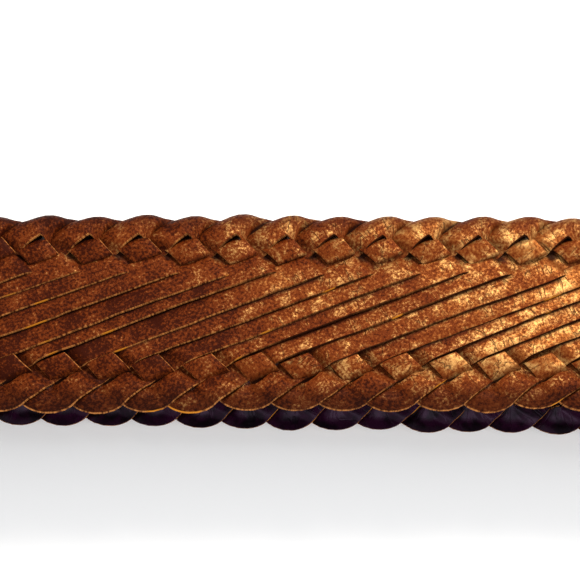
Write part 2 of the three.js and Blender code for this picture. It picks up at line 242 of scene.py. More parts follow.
# The flat route of a strip: a long leg that rises across the front, a turn, a short leg that falls, and
# a turn. The long leg is steeper near its ends. The lengths of its straight parts follow from the cycle
# and the width.
middle_angle = math.radians(LONG_LEG_MIDDLE_DEG)
end_angle = math.radians(LONG_LEG_END_DEG)
short_angle = math.radians(SHORT_LEG_DEG)
bend_along = BEND_LENGTH * (math.sin(end_angle) - math.sin(middle_angle)) / (end_angle - middle_angle)
bend_across = BEND_LENGTH * (math.cos(middle_angle) - math.cos(end_angle)) / (end_angle - middle_angle)
turn_length = TURN_RADIUS * (end_angle + short_angle)
short_length = 2 * (TURN_PEAK - TURN_RADIUS * (1 - math.cos(short_angle))) / math.sin(short_angle)
middle_length, end_length = np.linalg.solve(
    [[math.sin(middle_angle), 2 * math.sin(end_angle)], [math.cos(middle_angle), 2 * math.cos(end_angle)]],
    [
        2 * (TURN_PEAK - TURN_RADIUS * (1 - math.cos(end_angle)) - bend_across),
        cycle
        - 2 * TURN_RADIUS * (math.sin(end_angle) + math.sin(short_angle))
        - 2 * bend_along
        - short_length * math.cos(short_angle),
    ],
)
long_length = middle_length + 2 * (BEND_LENGTH + end_length)
route_length = long_length + short_length + 2 * turn_length


def flat_route(route):
    """Where a strip's middle lies on the flat braid, and its heading, at distances along the strip."""
    parts = [
        {"length": end_length, "heading": end_angle},
        {"length": BEND_LENGTH, "heading": middle_angle},
        {"length": middle_length, "heading": middle_angle},
        {"length": BEND_LENGTH, "heading": end_angle},
        {"length": end_length, "heading": end_angle},
        {"length": turn_length, "heading": -short_angle},
        {"length": short_length, "heading": -short_angle},
        {"length": turn_length, "heading": end_angle},
    ]
    knots = np.cumsum([-long_length / 2] + [part["length"] for part in parts])
    headings = [end_angle] + [part["heading"] for part in parts]
    fine = np.arange(route.min() - 1, route.max() + 1, 0.02)
    heading = np.interp(knots[0] + np.mod(fine - knots[0], route_length), knots, headings)
    middle = (heading[1:] + heading[:-1]) / 2
    along = np.concatenate([[0], np.cumsum(np.cos(middle) * np.diff(fine))])
    across = np.concatenate([[0], np.cumsum(np.sin(middle) * np.diff(fine))])
    along -= np.interp(0, fine, along)
    across -= np.interp(0, fine, across)
    return np.interp(route, fine, along), np.interp(route, fine, across), np.interp(route, fine, heading)


# What a strip does in the turns and where it crosses the other legs, which number from -5 at the lower edge
# to 5 at the upper one. level is the height of its middle, held from before the place to after it. tilt lifts
# the side to the right of the way it runs, and shift moves it to that side. arch raises its middle, roll
# lowers its outer side, and tuck spreads its inner side and turns it down. free says how far it may stray.
STATION_COLUMNS = [
    *["leg", "crossing", "before", "after"],
    *["level", "tilt", "shift", "width", "arch", "roll", "tuck", "free"],
]
STATIONS = [
    ["long", -5, 2.4, 2.0, 0.75, 15, 0.4, 1.04, 0.35, 0.0, 0.0, 0.4],
    ["long", -4, 4.6, 3.6, -0.95, 8, 0.0, 1.26, 0.10, 0.0, 0.0, 0.4],
    ["long", -3, 2.5, 2.5, 0.75, 14, -0.2, 1.02, 0.15, 0.0, 0.0, 1.0],
    ["long", 0, 5.0, 5.0, 0.80, 16, 0.0, 1.00, 0.10, 0.0, 0.0, 1.0],
    ["long", 3, 2.5, 2.2, 0.80, 14, 0.2, 1.04, 0.15, 0.0, 0.0, 1.0],
    ["long", 4, 4.6, 3.4, -0.95, 6, 0.0, 1.36, 0.10, 0.0, 0.0, 0.4],
    ["long", 5, 2.6, 2.0, 0.65, 22, 0.0, 1.05, 0.60, 0.3, 0.0, 0.4],
    ["upper turn", 0, 1.8, 1.6, 0.0, 28, -0.05, 1.09, 1.00, 1.2, 3.7, 0.6],
    ["short", 5, 2.4, 2.1, -1.35, 4, 0.2, 1.37, 0.10, 0.0, 0.0, 0.4],
    ["short", 4, 2.6, 2.0, 1.05, -9, 0.0, 1.17, 0.45, 0.0, 0.0, 0.5],
    ["short", 3, 3.2, 2.0, -1.45, 0, 0.0, 1.16, 0.10, 0.0, 0.0, 0.5],
    ["short", -3, 2.0, 3.2, -1.45, 0, 0.0, 1.08, 0.10, 0.0, 0.0, 0.5],
    ["short", -4, 2.0, 2.6, 1.05, -9, 0.0, 1.17, 0.50, 0.0, 0.0, 0.5],
    ["short", -5, 1.9, 2.4, -1.35, 4, 0.0, 1.24, 0.10, 0.0, 0.0, 0.4],
    ["lower turn", 0, 2.0, 2.0, -0.25, 16, 0.2, 1.07, 0.70, 0.7, 1.5, 0.7],
]

# How far each leg, and each place on it, may stray from those values.
LEG_STRAY = {"level": 0.18, "tilt": 4.5, "shift": 0.7, "width": 0.05, "arch": 0.05, "roll": 0.30}
PLACE_STRAY = {"level": 0.08, "tilt": 2.5, "shift": 0.20, "width": 0.03, "arch": 0.10, "roll": 0.30}


def crossing_places():
    """How far along a strip it crosses the others, for each leg, by the crossing's number."""
    fine = np.arange(-route_length / 2, route_length, 0.05)
    along, across, _ = flat_route(fine)
    long_part = np.abs(fine) <= (long_length + turn_length) / 2
    short_part = np.abs(fine - route_length / 2) <= (short_length + turn_length) / 2
    heights = np.linspace(-TURN_PEAK + 0.01, TURN_PEAK - 0.01, 2000)
    long_along = np.interp(heights, across[long_part], along[long_part])
    short_along = np.interp(heights, across[short_part][::-1], along[short_part][::-1] - cycle / 2)
    numbers = np.arange(-STRIPS / 2, STRIPS / 2 + 1)
    crossed = np.interp(numbers * LOBE_PITCH, long_along - short_along, heights)
    on_long = np.interp(crossed, across[long_part], fine[long_part])
    on_short = np.interp(crossed, across[short_part][::-1], fine[short_part][::-1])
    return {"long": dict(zip(numbers, on_long)), "short": dict(zip(numbers, on_short))}


def route_stations(random, first, last):
    """The stations between two distances along a strip, strayed a little at random, as arrays by name."""
    crossings = crossing_places()
    half_turn = (long_length + turn_length) / 2
    turns = {"upper turn": half_turn, "lower turn": route_length - half_turn}
    rows = []
    for number in range(math.floor(first / route_length) - 1, math.ceil(last / route_length) + 2):
        leg = None
        for row in STATIONS:
            station = dict(zip(STATION_COLUMNS, row))
            if station["leg"] != leg:
                leg = station["leg"]
                leg_stray = {name: amount * random.uniform(-1, 1) for name, amount in LEG_STRAY.items()}
            for name, amount in PLACE_STRAY.items():
                station[name] += station["free"] * (leg_stray[name] + amount * random.uniform(-1, 1))
            place = turns[leg] if leg in turns else crossings[leg][station["crossing"]]
            rows.append({**station, "place": place + number * route_length})
    stations = {name: np.array([row[name] for row in rows]) for name in ["place", *STATION_COLUMNS[2:]]}
    stations["under"] = (stations["level"] < UNDER_LEVEL).astype(float)
    return stations


def between_stations(route, stations, name, held):
    """A value along the strip that eases from one station to the next. It may be held near each of them."""
    places = stations["place"]
    values = stations[name]
    after = np.clip(np.searchsorted(places, route, side="right"), 1, len(places) - 1)
    start = places[after - 1] + held * stations["after"][after - 1]
    end = places[after] - held * stations["before"][after]
    return values[after - 1] + (values[after] - values[after - 1]) * smooth((route - start) / (end - start))


def crossing_skew(heading):
    """How far along a strip the edge of a crossing one runs for each millimetre to the right."""
    on_long = smooth((heading + math.radians(8)) / math.radians(26))
    on_short = smooth((-heading - math.radians(8)) / math.radians(26))
    return (on_long - on_short) / math.tan(middle_angle + short_angle)


def wander(places, random, lengths, amount):
    """A smooth wander along the strip, with a random phase for each wavelength."""
    total = np.zeros_like(places)
    for length in lengths:
        total += np.sin(2 * math.pi * (places / length + random.random())) * random.uniform(0.5, 1)
    return amount * total / math.sqrt(len(lengths))


# A strip's section: the finished side, the raw cut edges and the back, as shares of half its width and
# of half its thickness. side is 1 on the finished side, 0 on a cut edge and -1 on the back.
FACE_SHARES = [-0.97, -0.9, -0.75, -0.5, -0.25, 0.0, 0.25, 0.5, 0.75, 0.9, 0.97]
EDGE_SECTION = [
    {"across": 1.0, "height": 0.76, "side": 0.4},
    {"across": 1.01, "height": 0.4, "side": 0.0},
    {"across": 1.02, "height": -0.1, "side": 0.0},
    {"across": 1.0, "height": -0.6, "side": 0.0},
    {"across": 0.97, "height": -0.9, "side": -0.5},
]
BACK_SHARES = [0.9, 0.6, 0.2, -0.2, -0.6, -0.9]


def strip_section():
    """The points of a section in order round it, as arrays of across, height and side."""
    top = [(share, 1.0 - 0.2 * share**8, 1.0) for share in FACE_SHARES]
    right = [(point["across"], point["height"], point["side"]) for point in EDGE_SECTION]
    bottom = [(share, -1.0, -1.0) for share in BACK_SHARES]
    left = [(-across, height, side) for across, height, side in reversed(right)]
    return np.array(top + right + bottom + left).T


def mesh_object(name, vertices, faces):
    """A new smooth-shaded object from vertices in millimetres."""
    mesh = bpy.data.meshes.new(name)
    mesh.from_pydata((np.asarray(vertices) * MM).tolist(), [], faces)
    mesh.validate()
    mesh.shade_smooth()
    made = bpy.data.objects.new(name, mesh)
    bpy.context.scene.collection.objects.link(made)
    return made


def ring_faces(rings, size):
    """The faces of a tube of rings, with a cap on each end."""
    faces = []
    for ring in range(rings - 1):
        for point in range(size):
            after = (point + 1) % size
            low = ring * size
            high = low + size
            faces.append((low + point, high + point, high + after, low + after))
    faces.append(tuple(range(size)))
    faces.append(tuple(reversed(range((rings - 1) * size, rings * size))))
    return faces


def turn_outwards(made):
    """Makes the faces of a closed mesh point outwards."""
    work = bmesh.new()
    work.from_mesh(made.data)
    bmesh.ops.recalc_face_normals(work, faces=work.faces)
    work.to_mesh(made.data)
    work.free()


def ring_places():
    """The places of a strip's rings, closest together on the short leg, where it bends the most."""
    float_half = middle_length / 2 - 4
    short_start = long_length / 2 + turn_length / 2
    bounds = [-float_half, float_half, short_start, route_length - short_start, route_length - float_half]
    kinds = ["float", "side", "short leg", "side"]
    spans = [
        np.linspace(start, end, round((end - start) / RING_STEPS[kind]), endpoint=False)
        for kind, start, end in zip(kinds, bounds[:-1], bounds[1:])
    ]
    once = np.concatenate(spans)
    rounds = range(-2, int(braid_length / cycle) + 3)
    return np.concatenate([once + number * route_length for number in rounds])


def strip_path(number):
    """The path of a strip from one tab to the other: arrays by name, with its stations."""
    random = np.random.default_rng(SEED + number)
    route = ring_places()
    along, across, heading = flat_route(route)
    start = number * LOBE_PITCH + wander(route, random, [59, 97], 0.35)
    inside = (along + start > END_CUT) & (along + start < braid_length - END_CUT)
    route, start, across, heading = (values[inside] for values in (route, start, across, heading))
    stations = route_stations(random, route[0], route[-1])
    width = STRIP_WIDTH * between_stations(route, stations, "width", 0)
    return {
        "route": route,
        "start": start,
        "across": across,
        "heading": heading,
        "stations": stations,
        "width": width * (1 + wander(route, random, [9, 17], 0.015)),
        "shift": between_stations(route, stations, "shift", 0) + wander(route, random, [11, 19], 0.06),
        "level": wander(route, random, [5.3, 8.9], 0.035),
        "tilt": wander(route, random, [7, 13], 0.8),
    }


def painted_shade_on(number, paths, lateral):
    """Where a strip is painted in shade: where it dips, along the strip that laps it, and near the braid's
    edges.
    """
    path = paths[number]
    lapping = paths[(number - 1) % STRIPS]
    beside = path["route"] + LOBE_PITCH * np.cos(path["heading"]) - (route_length if number == 0 else 0)
    edge = np.interp(beside, lapping["route"], lapping["shift"] + lapping["width"] / 2)
    edge = edge - LOBE_PITCH * np.sin(path["heading"])
    laps = smooth((path["heading"] - math.radians(10)) / math.radians(8))
    laps = laps * (1 - smooth(between_stations(beside, lapping["stations"], "under", 1) * 2))
    lapped = (1 - smooth((lateral - edge[:, None]) / PAINTED_SHADE_WIDTH)) * laps[:, None]
    dips = smooth((between_stations(path["route"], path["stations"], "under", 1) - 0.45) / 0.35)
    on_long = smooth((path["heading"] + 0.2) / 0.4)
    dipped = (dips * (1 - 0.7 * on_long))[:, None]
    # Towards the braid's edges the lobes are painted darker: a painted shade for their rounded outer parts,
    # which curve away from the light.
    off_middle = np.abs(path["across"][:, None] - lateral * np.cos(path["heading"])[:, None])
    inmost, outmost = EDGE_PAINTED_SHADE_REACH
    edge_shade = EDGE_PAINTED_SHADE * smooth((off_middle - inmost) / (outmost - inmost))
    return np.maximum(np.maximum(lapped, dipped), edge_shade)


def make_strip(number, paths):
    """One leather strip of the braid."""
    path = paths[number]
    section_across, section_height, section_side = strip_section()
    x = np.outer(path["width"] / 2, section_across)
    level, tilt, arch, roll, tuck = (
        between_stations(path["route"], path["stations"], name, 1)[:, None]
        for name in ["level", "tilt", "arch", "roll", "tuck"]
    )
    level = level + path["level"][:, None]
    tilt = np.radians(tilt + path["tilt"][:, None])
    # A strip rises and dips along the edges of those it crosses, so its rings are laid askew, as they are.
    route = path["route"][:, None] + x * crossing_skew(path["heading"])[:, None]
    along, across, heading = (values.reshape(x.shape) for values in flat_route(route.ravel()))
    along = along + path["start"][:, None]
    outwards = np.where(path["across"] > 0, -1, 1)[:, None]
    outer = outwards * x
    y = STRIP_THICKNESS / 2 * section_height[None, :] + arch * (0.5 - section_across**2)[None, :]
    y = y - roll * (np.clip(outer + 0.5, 0, None) / (STRIP_WIDTH / 2)) ** 2
    inner = np.clip(-outer / (STRIP_WIDTH / 2), 0, 1)
    y = y - tuck * inner**3
    x = x - outwards * tuck * inner**2 + path["shift"][:, None]
    # A painted shade, kept on each vertex: in the crevices, under crossing strips and towards the braid's
    # edges.
    painted_shade = painted_shade_on(number, paths, x)
    lateral = x * np.cos(tilt) - y * np.sin(tilt)
    out = level + x * np.sin(tilt) + y * np.cos(tilt)
    vertex_along = along + lateral * np.sin(heading)
    vertex_across = across - lateral * np.cos(heading)
    seated = SEAT_DEPTH + SEAT_MARGIN
    in_seat = (along < seated) | (along > braid_length - seated)
    lowest = np.where(in_seat, -half_thickness, -half_thickness - STRIP_OVERHANG)
    out = np.clip(out, lowest, half_thickness - 0.02)
    points = bend(vertex_along.ravel(), vertex_across.ravel(), out.ravel())
    rings, size = x.shape
    made = mesh_object(f"strip_{number + 1:02d}", points, ring_faces(rings, size))
    side = made.data.attributes.new("strip_side", "FLOAT", "POINT")
    side.data.foreach_set("value", np.tile(section_side, rings).astype(np.float32))
    place = made.data.attributes.new("strip_place", "FLOAT_VECTOR", "POINT")
    place_values = np.stack([route.ravel(), x.ravel(), np.full(rings * size, number * 40.0)], axis=-1)
    place.data.foreach_set("vector", (place_values * MM).astype(np.float32).ravel())
    shade_attribute = made.data.attributes.new("strip_painted_shade", "FLOAT", "POINT")
    shade_attribute.data.foreach_set("value", painted_shade.astype(np.float32).ravel())
    on_back = (section_side < -0.4) & (np.roll(section_side, -1) < -0.4)
    kinds = np.concatenate([np.tile(on_back, rings - 1), [False, False]])
    made.data.polygons.foreach_set("material_index", kinds.astype(np.int32))
    turn_outwards(made)
    return made


def cut_ply(name, outline, holes, thickness, lay, step=2.0):
    """A leather ply with rounded edges, cut flat to an outline with holes and laid by a function."""
    curve = bpy.data.curves.new(name, "CURVE")
    curve.dimensions = "2D"
    curve.fill_mode = "BOTH"
    curve.extrude = thickness / 2 - PLY_ROUNDING
    curve.bevel_depth = PLY_ROUNDING
    curve.bevel_resolution = 2
    curve.offset = -PLY_ROUNDING
    for points in [outline, *holes]:
        spline = curve.splines.new("POLY")
        spline.points.add(len(points) - 1)
        spline.use_cyclic_u = True
        for point, (x, y) in zip(spline.points, points):
            point.co = (x, y, 0, 1)
    holder = bpy.data.objects.new(name, curve)
    bpy.context.scene.collection.objects.link(holder)
    mesh = bpy.data.meshes.new_from_object(holder.evaluated_get(bpy.context.evaluated_depsgraph_get()))
    bpy.data.objects.remove(holder)
    work = bmesh.new()
    work.from_mesh(mesh)
    bmesh.ops.remove_doubles(work, verts=work.verts, dist=0.001)
    for axis in (0, 1):
        places = [vertex.co[axis] for vertex in work.verts]
        for place in np.arange(min(places) + step / 2, max(places), step):
            direction = [0, 0, 0]
            direction[axis] = 1
            everything = work.verts[:] + work.edges[:] + work.faces[:]
            at = [place * part for part in direction]
            bmesh.ops.bisect_plane(work, geom=everything, dist=0.0001, plane_co=at, plane_no=direction)
    work.to_mesh(mesh)
    work.free()
    flat = np.empty(len(mesh.vertices) * 3)
    mesh.vertices.foreach_get("co", flat)
    flat = flat.reshape(-1, 3)
    faces = [tuple(face.vertices) for face in mesh.polygons]
    bpy.data.meshes.remove(mesh)
    made = mesh_object(name, lay(flat), faces)
    edge = made.data.attributes.new("cut_edge", "FLOAT", "POINT")
    edge.data.foreach_set("value", (np.abs(flat[:, 2]) < thickness / 2 - 0.02).astype(np.float32))
    turn_outwards(made)
    return made


def sweep(name, route, ways, ups, section, closed):
    """A solid whose section, given across and up, follows a route of points."""
    route, ways, ups = (np.asarray(values, dtype=float) for values in (route, ways, ups))
    sides = np.cross(ups, ways)
    scaled = np.asarray(section, dtype=float)
    if scaled.ndim == 2:
        scaled = np.repeat(scaled[None], len(route), axis=0)
    points = route[:, None] + scaled[..., :1] * sides[:, None] + scaled[..., 1:] * ups[:, None]
    rings, size = scaled.shape[:2]
    faces = ring_faces(rings, size)
    if closed:
        faces = faces[:-2]
        last = (rings - 1) * size
        for point in range(size):
            after = (point + 1) % size
            faces.append((last + point, point, after, last + after))
    made = mesh_object(name, points.reshape(-1, 3), faces)
    turn_outwards(made)
    return made


def rounded_section(width, height, fullness, count=20):
    """A rounded rectangle as a section. A high fullness makes its corners tighter."""
    angles = np.arange(count) * 2 * math.pi / count
    across = np.sign(np.cos(angles)) * np.abs(np.cos(angles)) ** (2 / fullness) * width / 2
    up = np.sign(np.sin(angles)) * np.abs(np.sin(angles)) ** (2 / fullness) * height / 2
    return np.stack([across, up], axis=-1)


def rounded_loop(half_u, half_v, corner, step=1.0):
    """Points and ways round a rectangle with rounded corners, in its own plane."""
    points = []
    ways = []
    corners = [(1, 1, 0), (-1, 1, 90), (-1, -1, 180), (1, -1, 270)]
    for number, (u, v, first) in enumerate(corners):
        middle = np.array([u * (half_u - corner), v * (half_v - corner)])
        for angle in np.radians(np.linspace(first, first + 90, 9)):
            points.append(middle + corner * np.array([math.cos(angle), math.sin(angle)]))
            ways.append(np.array([-math.sin(angle), math.cos(angle)]))
        after_u, after_v, _ = corners[(number + 1) % 4]
        start = points[-1]
        straight = np.array([(after_u - u) * (half_u - corner), (after_v - v) * (half_v - corner)])
        count = max(int(np.linalg.norm(straight) / step), 1)
        for share in np.arange(1, count) / count:
            points.append(start + share * straight)
            ways.append(ways[-1])
    return np.array(points), np.array(ways)


def stitch_rows(name, rows):
    """Thread stitches along rows, each a pair of points on the leather's surface and of its outward way."""
    vertices = []
    faces = []
    shares = np.linspace(0, 1, 6)
    angles = np.arange(6) * math.pi / 3
    for points, normals in rows:
        lengths = np.concatenate([[0], np.cumsum(np.linalg.norm(np.diff(points, axis=0), axis=1))])
        count = int((lengths[-1] - STITCH_LENGTH) / STITCH_PITCH) + 1
        margin = (lengths[-1] - (count - 1) * STITCH_PITCH - STITCH_LENGTH) / 2
        for number in range(count):
            places = margin + number * STITCH_PITCH + shares * STITCH_LENGTH
            middle = np.stack([np.interp(places, lengths, points[:, axis]) for axis in range(3)], axis=-1)
            up = np.stack([np.interp(places, lengths, normals[:, axis]) for axis in range(3)], axis=-1)
            way = middle[-1] - middle[0]
            side = np.cross(up, way / np.linalg.norm(way))
            middle = middle + up * (0.5 * np.sin(math.pi * shares) - 0.3)[:, None]
            ring = np.cos(angles)[:, None] * side[:, None] + np.sin(angles)[:, None] * up[:, None]
            first = len(vertices)
            vertices.extend((middle[:, None] + THREAD_RADIUS * ring).reshape(-1, 3))
            faces.extend(tuple(first + corner for corner in face) for face in ring_faces(6, 6))
    made = mesh_object(name, vertices, faces)
    turn_outwards(made)
    return made


def circle(x, y, radius, count=32):
    """The points of a hole, in the direction that holes take."""
    angles = np.arange(count) * 2 * math.pi / count
    return [(x + radius * math.cos(angle), y - radius * math.sin(angle)) for angle in angles]


def tip_outline(inset):
    """The tip tab from above, square at one end and round at its tip, drawn in by an inset."""
    half = TAB_WIDTH / 2 - inset
    end = tip_tab_end - inset
    round_start = tip_tab_end - TIP_ROUND
    round_middle = end - (TIP_ROUND - inset) / 2
    points = [(tip_tab_start + inset, -half)]
    for share in np.linspace(0, 1, 25):
        bezier = [(1 - share) ** 3, 3 * share * (1 - share) ** 2, 3 * share**2 * (1 - share), share**3]
        x = np.dot(bezier, [round_start, round_middle, end, end])
        points.append((x, np.dot(bezier, [-half, -half, -half / 2, 0])))
    points += [(x, -y) for x, y in reversed(points[:-1])]
    return points


def tip_ply_height(x):
    """How far the middle of the tip tab's upper ply lies above the middle of the strap."""
    ease = smooth((x - tip_seat_end) / (strap_start - tip_seat_end))
    return (seat_half + PLY / 2) * (1 - ease) + STRAP_THICKNESS / 4 * ease


def make_tip_tab():
    """The tip tab: two plies that hold the end of the braid, then lie together as the strap."""
    holes = [
        circle(prong_hole_x + number * HOLE_SPACING, 0, HOLE_RADIUS)
        for number in range(-HOLES_BEFORE_PRONG, HOLES_AFTER_PRONG + 1)
    ]
    ply = STRAP_THICKNESS / 2 - PLY_SLACK
    pieces = []
    rows = []
    for name, side in (("upper", 1), ("lower", -1)):

        def lay(flat, side=side):
            height = tip_z + side * tip_ply_height(flat[:, 0])
            return np.stack([flat[:, 0], flat[:, 1], height + side * flat[:, 2]], axis=-1)

        pieces.append(cut_ply(f"tip_tab_{name}_ply", tip_outline(0), holes, ply, lay))
        half = TAB_WIDTH / 2 - STITCH_INSET
        tip = [(strap_start + 1, -half), *tip_outline(STITCH_INSET)[1:-1], (strap_start + 1, half)]
        seat = [(tip_tab_start + STITCH_INSET, -half), (tip_braid_end - STITCH_INSET, -half)]
        seat += [(x, half) for x, _ in reversed(seat)]
        for line in [tip] + [[seat[n], seat[(n + 1) % 4]] for n in range(4)]:
            surface = lay(np.array([(x, y, ply / 2) for x, y in line]))
            rows.append((surface, np.tile([0, 0, side], (len(line), 1))))
    pieces.append(stitch_rows("tip_tab_stitches", rows))
    return pieces


def make_buckle_tab():
    """The buckle tab: a ply folded round the hinge bar and slotted for the prong, with filler behind it."""
    arc_radius = fold_outside - PLY / 2
    straight = buckle_tab_end - hinge_x
    arc = math.pi * arc_radius
    total = 2 * straight + arc

    def lay(flat):
        place = flat[:, 0]
        angle = np.clip((place - straight) / arc_radius, 0, math.pi)
        out = arc_radius + flat[:, 2]
        x = np.clip(straight - place, 0, None) + np.clip(place - straight - arc, 0, None)
        # Away from the fold the two leaves come together to hold the braid.
        leaf = np.clip(x / (buckle_seat_start - hinge_x), 0, 1)
        out = out + (tab_half - fold_outside) * leaf
        x = hinge_x + x - out * np.sin(angle)
        return np.stack([x, flat[:, 1], buckle_end_z + out * np.cos(angle)], axis=-1)

    half = TAB_WIDTH / 2
    outline = [(0, -half), (total, -half), (total, half), (0, half)]
    slot_start = straight - fold_inside + 0.2
    slot_end = straight + arc_radius * (math.pi / 2 + 0.38)
    round_end = PRONG_SLOT / 2
    slot = []
    for middle, first in ((slot_start + round_end, 90), (slot_end - round_end, 270)):
        for angle in np.radians(np.linspace(first, first + 180, 9)):
            slot.append((middle + round_end * math.cos(angle), round_end * math.sin(angle)))
    slot.reverse()
    pieces = [cut_ply("buckle_tab_ply", outline, [slot], PLY, lay, 1.5)]
    start, end = hinge_x + fold_inside + 1.2, buckle_seat_start
    filler = [(start, -half), (end, -half), (end, half), (start, half)]
    for name, side in (("upper", 1), ("lower", -1)):
        thickness = seat_half - PLY_SLACK

        def lay_filler(flat, side=side, thickness=thickness):
            return flat + (0, 0, buckle_end_z + side * (thickness + PLY_SLACK) / 2)

        pieces.append(cut_ply(f"buckle_tab_{name}_filler", filler, [], thickness, lay_filler, 4.0))
    rows = []
    inset_half = half - STITCH_INSET
    near = straight - (buckle_tab_end - STITCH_INSET - hinge_x)
    far = straight - 6.5
    for first, last in ((near, far), (total - near, total - far)):
        corners = [
            ((first, -inset_half), (last, -inset_half)),
            ((last, -inset_half), (last, inset_half)),
            ((last, inset_half), (first, inset_half)),
            ((first, inset_half), (first, -inset_half)),
            (((first + last) / 2, inset_half), ((first + last) / 2, -inset_half)),
        ]
        for start, end in corners:
            flat = np.linspace((*start, PLY / 2), (*end, PLY / 2), 40)
            surface = lay(flat)
            below = lay(flat - (0, 0, PLY))
            rows.append((surface, (surface - below) / np.linalg.norm(surface - below, axis=1)[:, None]))
    pieces.append(stitch_rows("buckle_tab_stitches", rows))
    return pieces


def make_keeper():
    """The keeper: a leather band round the buckle tab and the strap that lies on it."""
    low, high = (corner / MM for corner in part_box("keeper"))
    middle = (low + high) / 2
    half = (high - low) / 2
    points, ways = rounded_loop(half.y - PLY / 2, half.z - PLY / 2, KEEPER_CORNER - PLY / 2)
    route = [(middle.x, middle.y + u, middle.z + v) for u, v in points]
    along = [(0, u, v) for u, v in ways]
    outwards = [(0, v, -u) for u, v in ways]
    return [sweep("keeper_loop", route, along, outwards, rounded_section(2 * half.x, PLY, 7, 28), True)]


def make_buckle():
    """The buckle: a rounded frame, and a prong whose eye goes round the hinge bar."""
    rise = front_bar_z - buckle_end_z
    tilt = math.atan2(rise, BUCKLE_REACH)
    half_u = math.hypot(BUCKLE_REACH, rise) / 2
    half_v = TAB_WIDTH / 2 + 1 + BUCKLE_BAR / 2
    points, ways = rounded_loop(half_u, half_v, BUCKLE_CORNER)
    middle = np.array([(hinge_x + front_bar_x) / 2, 0, (front_bar_z + buckle_end_z) / 2])
    down = np.array([math.cos(tilt), 0, -math.sin(tilt)])
    up = np.array([math.sin(tilt), 0, math.cos(tilt)])
    across = np.array([0, 1, 0])
    route = [middle + u * down + v * across for u, v in points]
    along = [u * down + v * across for u, v in ways]
    section = rounded_section(BUCKLE_BAR, BUCKLE_THICKNESS, 3.2, 24)
    pieces = [sweep("buckle_frame", route, along, [up] * len(route), section, True)]

    half = PRONG_THICKNESS / 2
    over_strap = tip_z + STRAP_THICKNESS / 2 + GAP + PRONG_THICKNESS
    over_bar = front_bar_z + bar_reach + GAP + half
    eye = [
        (hinge_x + PRONG_EYE_RADIUS * math.cos(angle), buckle_end_z + PRONG_EYE_RADIUS * math.sin(angle))
        for angle in np.radians(np.linspace(110, 420, 16))
    ]
    bends = [
        (prong_hole_x + half / 2, tip_z - STRAP_THICKNESS / 2),
        (prong_hole_x - half / 2, tip_z + STRAP_THICKNESS / 2),
        (prong_hole_x - PRONG_THICKNESS, over_strap),
        (front_bar_x, over_bar),
        (front_bar_x - PRONG_OVERHANG, over_bar - 0.15),
    ]
    corners = np.array([(hinge_x - 1.2, buckle_end_z + 1.9)] + bends)
    for _ in range(3):
        near = corners[:-1] * 0.75 + corners[1:] * 0.25
        far = corners[:-1] * 0.25 + corners[1:] * 0.75
        corners = np.concatenate([corners[:1], np.stack([near, far], axis=1).reshape(-1, 2), corners[-1:]])
    pieces.append(flat_bar("buckle_prong", corners, PRONG_TIP_SHARE))
    pieces.append(flat_bar("buckle_prong_eye", np.array(eye), 1.0, PRONG_EYE_THICKNESS))
    return pieces


def flat_bar(name, line, tip_share, thickness=PRONG_THICKNESS):
    """A bar of the prong's width that follows points in X and Z and narrows at its far end."""
    ways = np.gradient(line, axis=0)
    ways /= np.linalg.norm(ways, axis=1)[:, None]
    lengths = np.concatenate([[0], np.cumsum(np.linalg.norm(np.diff(line, axis=0), axis=1))])
    left = lengths[-1] - lengths
    ease = np.clip(left / 2.2, 0, 1)
    share = tip_share + (1 - tip_share) * np.sqrt(1 - (1 - ease) ** 2)
    section = rounded_section(PRONG_WIDTH, thickness, 3.0, 16)
    sections = section[None] * share[:, None, None]
    route = [(x, 0, z) for x, z in line]
    along = [(x, 0, z) for x, z in ways]
    outwards = [(-z, 0, x) for x, z in ways]
    return sweep(name, route, along, outwards, sections, False)


